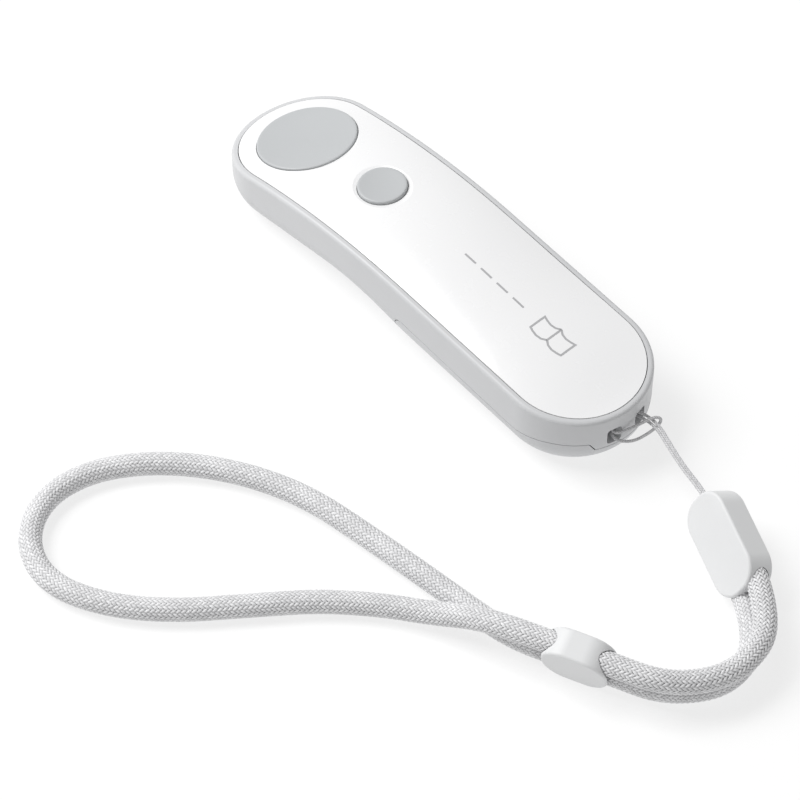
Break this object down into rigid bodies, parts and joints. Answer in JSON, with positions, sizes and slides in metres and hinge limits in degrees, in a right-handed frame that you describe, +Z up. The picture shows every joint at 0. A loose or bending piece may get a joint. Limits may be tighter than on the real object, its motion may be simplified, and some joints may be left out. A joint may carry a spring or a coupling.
{
  "type": "page-turner remote",
  "caption": "Arched pill-shaped handheld page-turner remote with a large and a small round key, an underside battery cover and a braided wrist lanyard with a sliding bead.",
  "frame": {"origin": "on the resting surface, under the middle of the handset, without the lanyard", "axes": "+X along the handset towards the lanyard end, +Z up through the face, +Y to the left when looking along +X"},
  "size_m": [0.169, 0.1241, 0.0206],
  "materials": {
    "white_shell": "fine satin moulded plastic",
    "white_face": "glossy white plastic",
    "adhesive": "soft adhesive film",
    "key_grey": "satin grey plastic",
    "plunger_black": "moulded",
    "switch_steel": "stamped cover",
    "board_green": "solder mask over fibreglass",
    "screw_steel": "plain zinc",
    "chip_black": "moulded epoxy",
    "crystal_lid": "drawn lid",
    "antenna_ceramic": "fired ceramic",
    "inductor_grey": "moulded ferrite",
    "chip_tan": "fired ceramic",
    "tray_plastic": "moulded",
    "cell_steel": "nickel plate",
    "cell_sleeve": "plain plastic sleeve, no text",
    "contact_nickel": "nickel plate",
    "clip_white": "satin moulded plastic",
    "rope_braid": "tubular braid of light grey and white yarn",
    "thin_braid": "fine braided cord"
  },
  "bodies": {
    "root": {"housing": "white_shell", "face_plate": "white_face", "face_adhesive": "adhesive", "large_switch": "switch_steel", "small_switch": "switch_steel", "circuit_board": "board_green", "board_screws": "screw_steel", "tray_screws": "screw_steel", "radio_chip": "chip_black", "crystal": "crystal_lid", "chip_antenna": "antenna_ceramic", "power_inductor": "inductor_grey", "small_chip_parts": "chip_tan", "battery_tray": "tray_plastic", "cell_can": "cell_steel", "cell_wrap": "cell_sleeve", "spring_contact": "contact_nickel", "spring_plate": "contact_nickel", "button_contact": "contact_nickel", "contact_strip": "contact_nickel", "cord_connector": "clip_white", "wrist_rope": "rope_braid", "hitch_cord": "thin_braid"},
    "large_button": {"large_button": "key_grey", "large_plunger": "plunger_black"},
    "small_button": {"small_button": "key_grey", "small_plunger": "plunger_black"},
    "battery_cover": {"battery_cover": "white_shell"},
    "slide_bead": {"slide_bead": "clip_white"}
  },
  "joints": [
    {"name": "large_press", "type": "slide", "parent": "root", "child": "large_button", "axis": [0.1736, 0, -0.9848], "range_m": [0, 0.0004], "stiffness_N_per_m": 3000},
    {"name": "small_press", "type": "slide", "parent": "root", "child": "small_button", "axis": [0.1736, 0, -0.9848], "range_m": [0, 0.0004], "stiffness_N_per_m": 3000},
    {"name": "cover_lift", "type": "slide", "parent": "root", "child": "battery_cover", "axis": [0, 0, -1], "range_m": [0, 0.02]},
    {"name": "bead_slide", "type": "slide", "parent": "root", "child": "slide_bead", "axis": [0.915, 0.4035, 0], "range_m": [-0.002, 0.0045]}
  ]
}
